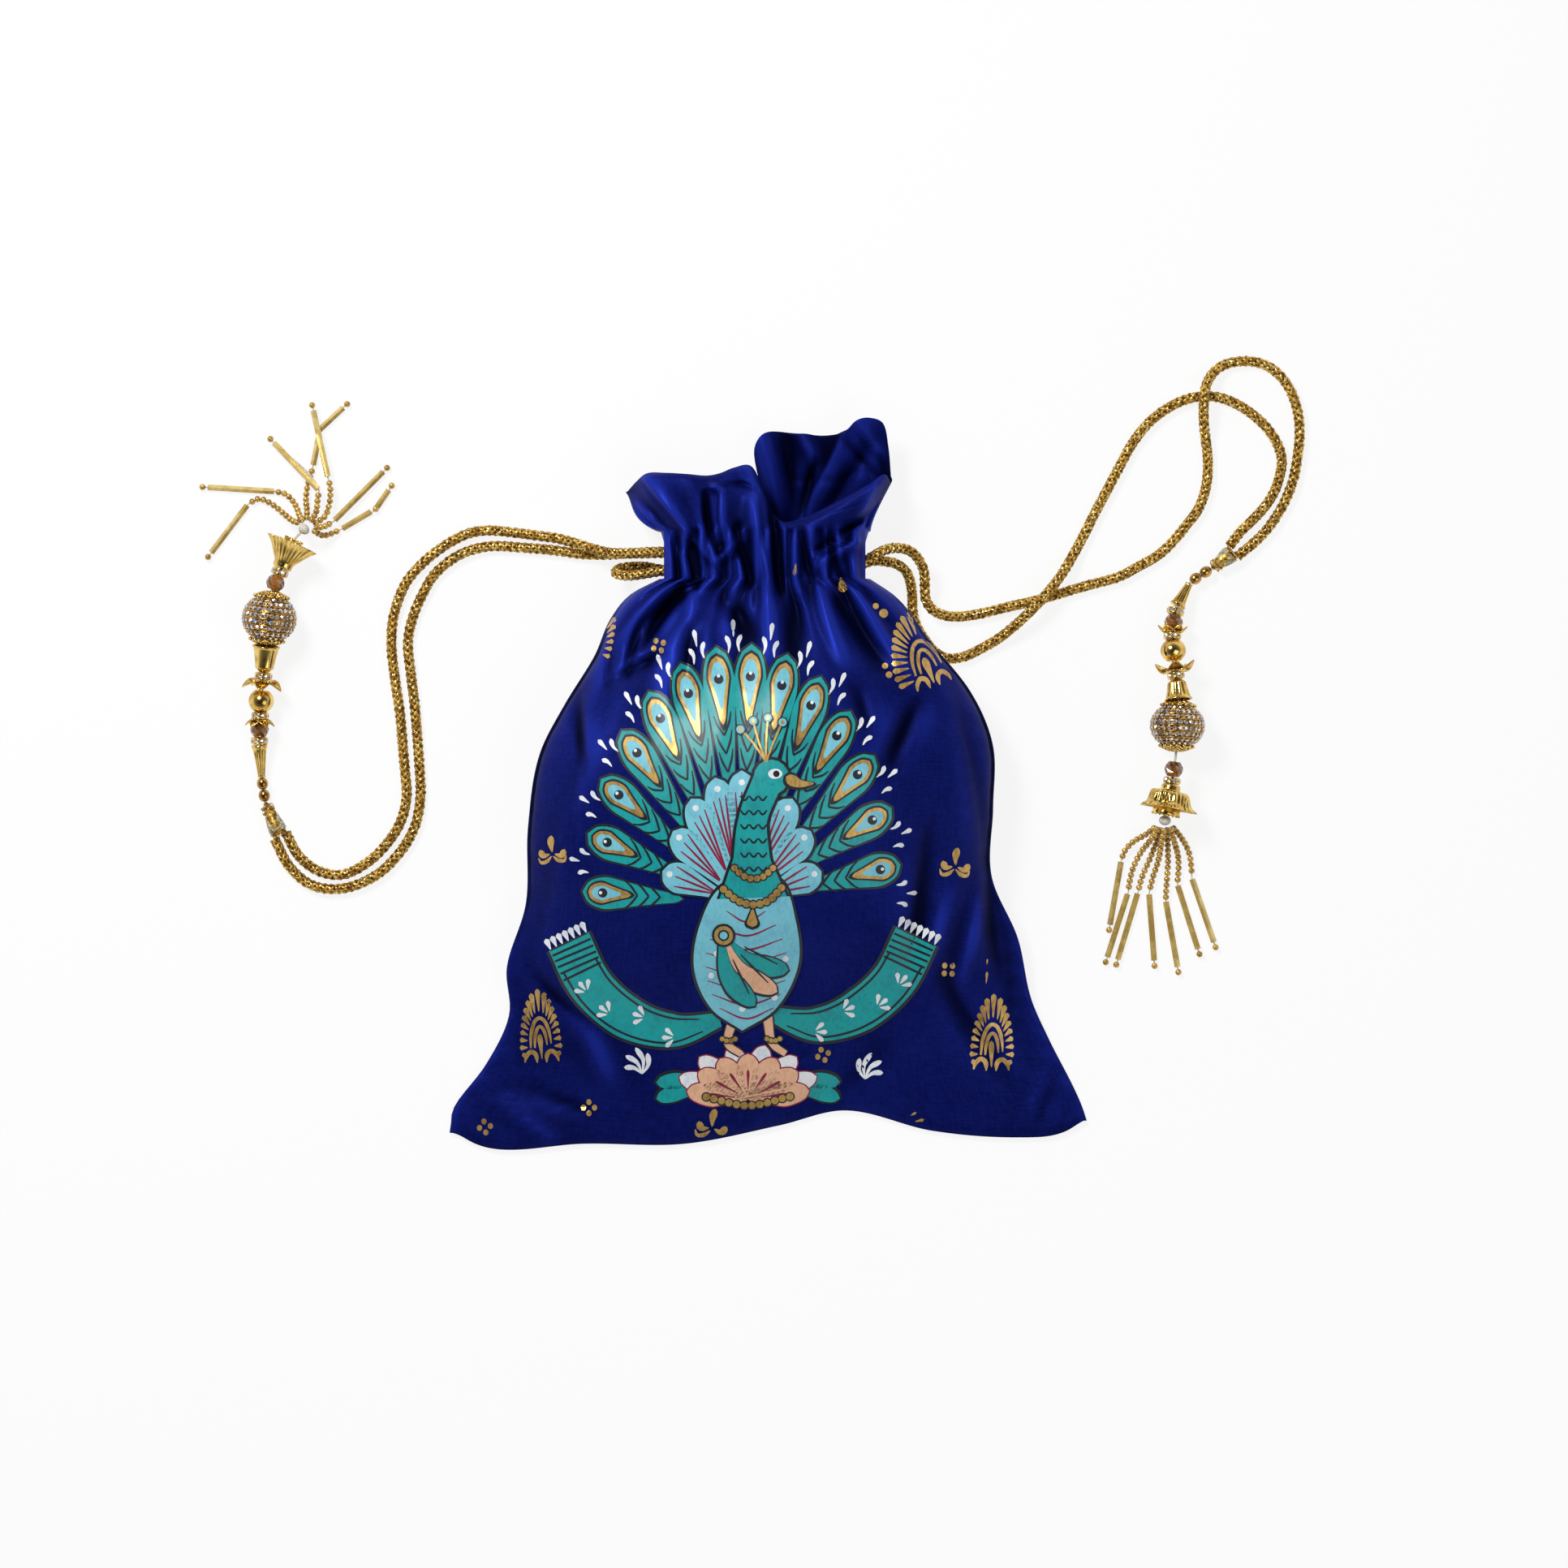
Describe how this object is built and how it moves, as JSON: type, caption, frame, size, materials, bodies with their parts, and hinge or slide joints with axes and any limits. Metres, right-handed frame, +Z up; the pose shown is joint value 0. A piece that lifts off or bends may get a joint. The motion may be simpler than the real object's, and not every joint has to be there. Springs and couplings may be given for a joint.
{
  "type": "potli bag",
  "caption": "Blue satin drawstring potli pouch lying on its back, with gold braided drawcords that end in beaded tassels.",
  "frame": {"origin": "on the table, under the middle of the pouch without its cords, tassels and what is on them", "axes": "+Z up from the table; +Y from the bottom seam to the mouth; +X to the right seen from above with the mouth away; the decorated front faces +Z"},
  "size_m": [0.3984, 0.2857, 0.0561],
  "materials": {
    "blue_satin": "royal blue satin with a soft sheen and a painted gold, teal and sky blue pattern on the front",
    "zari_cord": "braided metallic gold cord, slightly dull with bright glints",
    "polished_gold": "bright gold plated thin metal",
    "amber_crystal": "faceted brown amber crystal",
    "clear_stones": "clear round stones set close together in gold beading",
    "gold_glass": "gold lined glass seed beads and square cut tubes",
    "binding_thread": "thin white beading thread"
  },
  "bodies": {
    "root": {"pouch": "blue_satin", "channel_casing": "blue_satin", "left_drawcord": "zari_cord", "right_drawcord": "zari_cord", "left_whipping": "zari_cord", "left_bead_1": "polished_gold", "left_bead_2": "polished_gold", "left_long_cone": "polished_gold", "left_rondelle_1": "clear_stones", "left_amber_bead_1": "amber_crystal", "left_petal_cap": "polished_gold", "left_rondelle_2": "clear_stones", "left_gold_ball": "polished_gold", "left_flower_cap": "polished_gold", "left_rondelle_3": "clear_stones", "left_bell_cup": "polished_gold", "left_lace_cap_1": "polished_gold", "left_lace_cap_2": "polished_gold", "left_stone_ball": "clear_stones", "left_amber_bead_2": "amber_crystal", "left_rondelle_4": "clear_stones", "left_flower_bell": "polished_gold", "left_mouth_tube": "polished_gold", "left_thread": "binding_thread", "left_fringe_1": "gold_glass", "left_fringe_2": "gold_glass", "left_fringe_3": "gold_glass", "left_fringe_4": "gold_glass", "left_fringe_5": "gold_glass", "left_fringe_6": "gold_glass", "left_fringe_7": "gold_glass", "right_whipping": "zari_cord", "right_bead_1": "polished_gold", "right_bead_2": "polished_gold", "right_long_cone": "polished_gold", "right_rondelle_1": "clear_stones", "right_amber_bead_1": "amber_crystal", "right_petal_cap": "polished_gold", "right_rondelle_2": "clear_stones", "right_gold_ball": "polished_gold", "right_flower_cap": "polished_gold", "right_rondelle_3": "clear_stones", "right_bell_cup": "polished_gold", "right_lace_cap_1": "polished_gold", "right_lace_cap_2": "polished_gold", "right_stone_ball": "clear_stones", "right_amber_bead_2": "amber_crystal", "right_rondelle_4": "clear_stones", "right_flower_bell": "polished_gold", "right_mouth_tube": "polished_gold", "right_thread": "binding_thread", "right_fringe_1": "gold_glass", "right_fringe_2": "gold_glass", "right_fringe_3": "gold_glass", "right_fringe_4": "gold_glass", "right_fringe_5": "gold_glass", "right_fringe_6": "gold_glass", "right_fringe_7": "gold_glass"}
  },
  "joints": []
}
